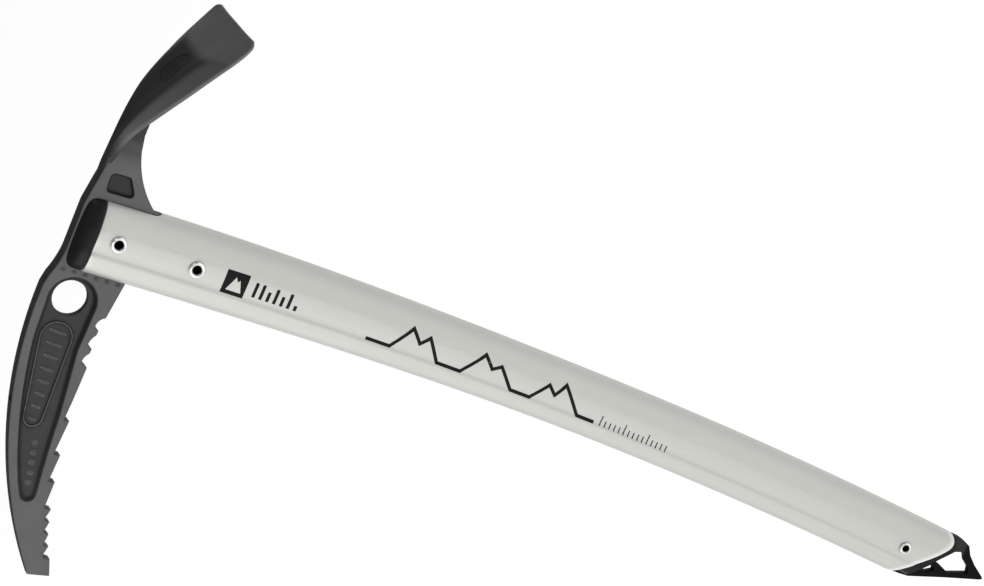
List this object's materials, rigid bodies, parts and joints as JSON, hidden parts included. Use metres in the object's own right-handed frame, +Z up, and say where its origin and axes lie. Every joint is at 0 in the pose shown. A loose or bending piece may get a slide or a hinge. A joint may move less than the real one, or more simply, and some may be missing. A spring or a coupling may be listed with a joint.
{
  "type": "ice axe",
  "caption": "Ice axe with a curved toothed pick, a flared adze, a bent oval metal shaft and a pierced spike, held by tubular rivets.",
  "frame": {"origin": "centre of the carabiner hole, on the middle plane of the head", "axes": "+Z up the shaft from spike to head, +X towards the adze, -X towards the pick, +Y through the thickness"},
  "size_m": [0.264, 0.0628, 0.484],
  "materials": {
    "forged_steel": "dark matt forged and coated",
    "shaft_finish": "warm silver satin coating",
    "black_plastic": "satin black moulding",
    "black_steel": "black coated steel",
    "bright_steel": "bright formed steel"
  },
  "bodies": {
    "root": {"head": "forged_steel", "shaft_tube": "shaft_finish", "head_plug_left": "black_plastic", "head_plug_right": "black_plastic", "spike_plug_left": "black_plastic", "spike_plug_right": "black_plastic", "spike": "black_steel", "upper_head_rivet": "bright_steel", "upper_head_rivet_washer": "bright_steel", "lower_head_rivet": "bright_steel", "lower_head_rivet_washer": "bright_steel", "spike_rivet": "bright_steel", "spike_rivet_washer": "bright_steel"}
  },
  "joints": []
}
